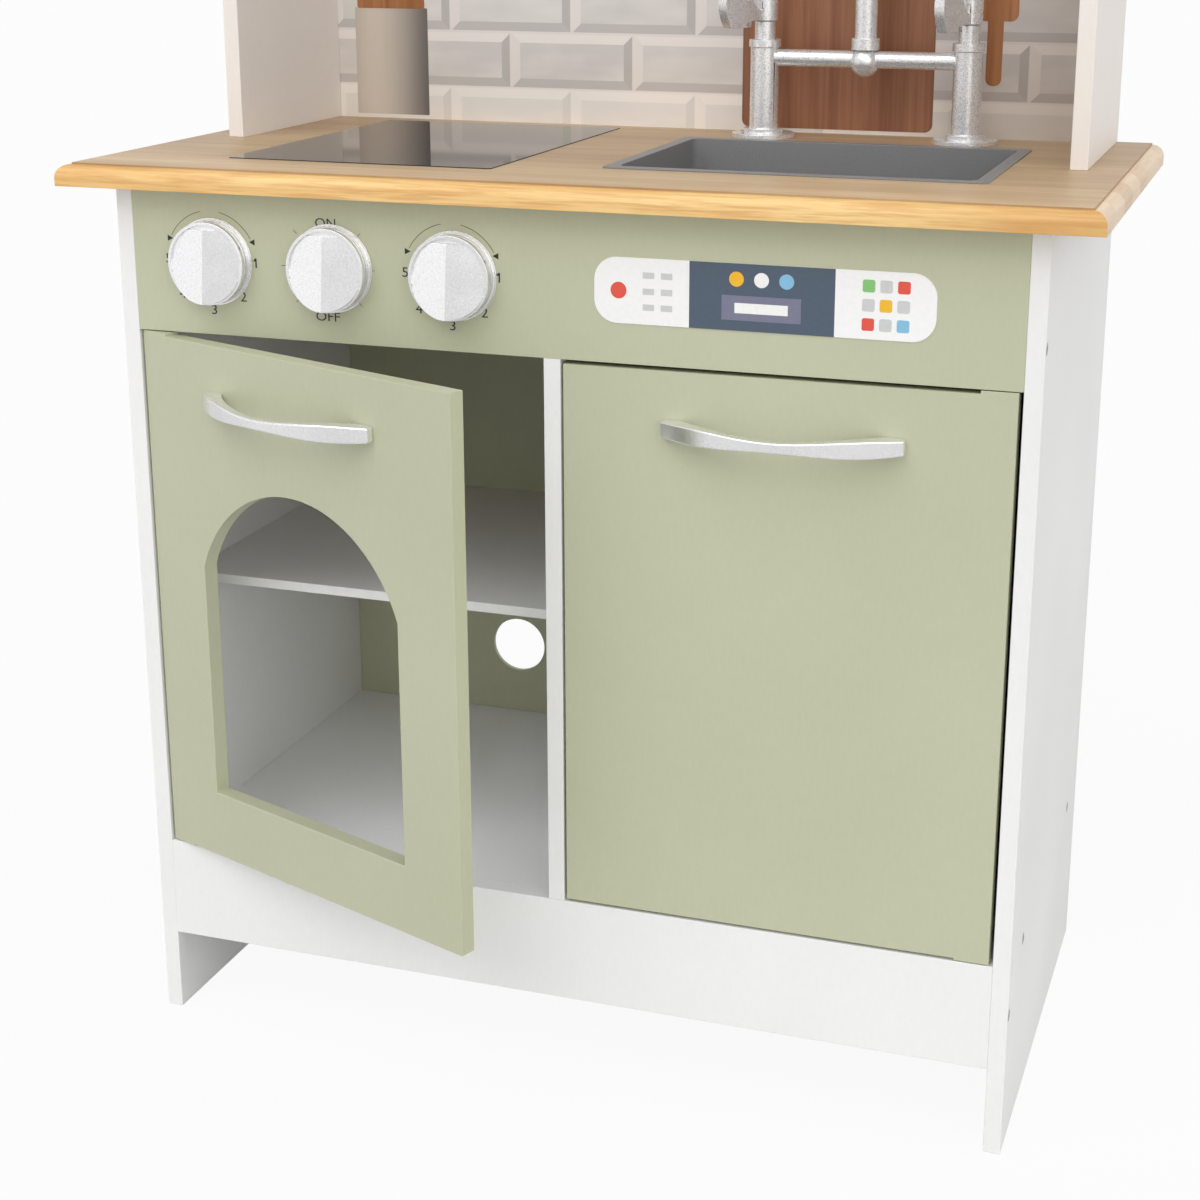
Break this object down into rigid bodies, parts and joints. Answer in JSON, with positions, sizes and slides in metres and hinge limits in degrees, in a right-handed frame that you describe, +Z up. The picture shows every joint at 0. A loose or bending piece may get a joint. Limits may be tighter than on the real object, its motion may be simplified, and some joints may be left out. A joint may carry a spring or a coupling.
{
  "type": "toy kitchen",
  "caption": "Free-standing toy kitchen: oven behind a windowed door, cupboard, turning knobs, worktop with hob and sink, swivelling bridge tap, splashback hutch.",
  "frame": {"origin": "on the floor, in the middle of the whole unit's footprint, with the oven door ajar as pictured", "axes": "+Z up, +X to the right seen from the front, the doors and knobs face -Y"},
  "size_m": [0.6, 0.3794, 0.942],
  "materials": {
    "white_board": "white satin paint on board",
    "sage_board": "sage green satin paint on board",
    "oak_board": "pale oak print with a clear satin coat",
    "tile_print": "printed glazed tiles on thin board",
    "label_print": "printed film, satin",
    "hob_gloss": "plain dark gloss",
    "sink_grey": "satin grey",
    "dowel_wood": "bare beech",
    "white_nylon": "moulded",
    "catch_black": "moulded",
    "screw_steel": "zinc plated",
    "silver_plastic": "silver coated plastic, satin"
  },
  "bodies": {
    "cabinet": {"left_side_panel": "white_board", "right_side_panel": "white_board", "centre_divider": "white_board", "floor_panel": "white_board", "plinth": "white_board", "cabinet_back_panel": "sage_board", "oven_shelf": "white_board", "shelf_pins": "screw_steel", "control_panel": "sage_board", "control_label": "label_print", "worktop": "oak_board", "hob_plate": "hob_gloss", "sink_basin": "sink_grey", "hutch_left_panel": "white_board", "hutch_right_panel": "white_board", "hutch_back_panel": "tile_print", "hutch_top_board": "white_board", "side_panel_screws": "screw_steel", "divider_screws": "screw_steel", "corner_blocks": "white_nylon", "corner_block_screws": "screw_steel", "hutch_dowels": "dowel_wood", "worktop_dowels": "dowel_wood", "top_board_screws": "screw_steel", "back_panel_screws": "screw_steel", "door_bushes": "white_nylon", "oven_door_catch": "catch_black", "right_door_catch": "catch_black", "left_knob_bezel": "silver_plastic", "middle_knob_bezel": "silver_plastic", "right_knob_bezel": "silver_plastic", "tap_left_pillar": "silver_plastic", "tap_right_pillar": "silver_plastic", "tap_bridge": "silver_plastic", "spout_clip": "screw_steel", "tap_left_cap": "silver_plastic", "tap_right_cap": "silver_plastic", "tap_nuts": "white_nylon"},
    "oven_door_leaf": {"oven_door": "sage_board", "oven_door_handle": "silver_plastic", "oven_door_handle_screws": "screw_steel", "oven_door_pins": "screw_steel", "oven_door_strike": "screw_steel"},
    "right_door_leaf": {"right_door": "sage_board", "right_door_handle": "silver_plastic", "right_door_handle_screws": "screw_steel", "right_door_pins": "screw_steel", "right_door_strike": "screw_steel"},
    "left_knob": {"left_knob_cap": "silver_plastic", "left_knob_washer": "screw_steel", "left_knob_screw": "screw_steel"},
    "middle_knob": {"middle_knob_cap": "silver_plastic", "middle_knob_washer": "screw_steel", "middle_knob_screw": "screw_steel"},
    "right_knob": {"right_knob_cap": "silver_plastic", "right_knob_washer": "screw_steel", "right_knob_screw": "screw_steel"},
    "spout": {"tap_spout": "silver_plastic"},
    "left_lever": {"tap_left_lever": "silver_plastic"},
    "right_lever": {"tap_right_lever": "silver_plastic"}
  },
  "joints": [
    {"name": "oven_door_hinge", "type": "hinge", "parent": "cabinet", "child": "oven_door_leaf", "pos_m": [-0.2536, -0.09729, 0.2833], "axis": [0, 0, -1], "range_deg": [-20.8, 79.2]},
    {"name": "right_door_hinge", "type": "hinge", "parent": "cabinet", "child": "right_door_leaf", "pos_m": [0.2536, -0.09729, 0.2833], "axis": [0, 0, 1], "range_deg": [0, 100]},
    {"name": "left_knob_turn", "type": "hinge", "parent": "cabinet", "child": "left_knob", "pos_m": [-0.2088, -0.10729, 0.4918], "axis": [0, -1, 0], "continuous": true},
    {"name": "middle_knob_turn", "type": "hinge", "parent": "cabinet", "child": "middle_knob", "pos_m": [-0.133, -0.10729, 0.4918], "axis": [0, -1, 0], "continuous": true},
    {"name": "right_knob_turn", "type": "hinge", "parent": "cabinet", "child": "right_knob", "pos_m": [-0.0572, -0.10729, 0.4918], "axis": [0, -1, 0], "continuous": true},
    {"name": "spout_swivel", "type": "hinge", "parent": "cabinet", "child": "spout", "pos_m": [0.11775, 0.14571, 0.62], "axis": [0, 0, 1], "range_deg": [-60, 60]},
    {"name": "left_lever_turn", "type": "hinge", "parent": "cabinet", "child": "left_lever", "pos_m": [0.05305, 0.14571, 0.6259], "axis": [0, 0, 1], "range_deg": [0, 90]},
    {"name": "right_lever_turn", "type": "hinge", "parent": "cabinet", "child": "right_lever", "pos_m": [0.18245, 0.14571, 0.6259], "axis": [0, 0, 1], "range_deg": [0, 90]}
  ]
}
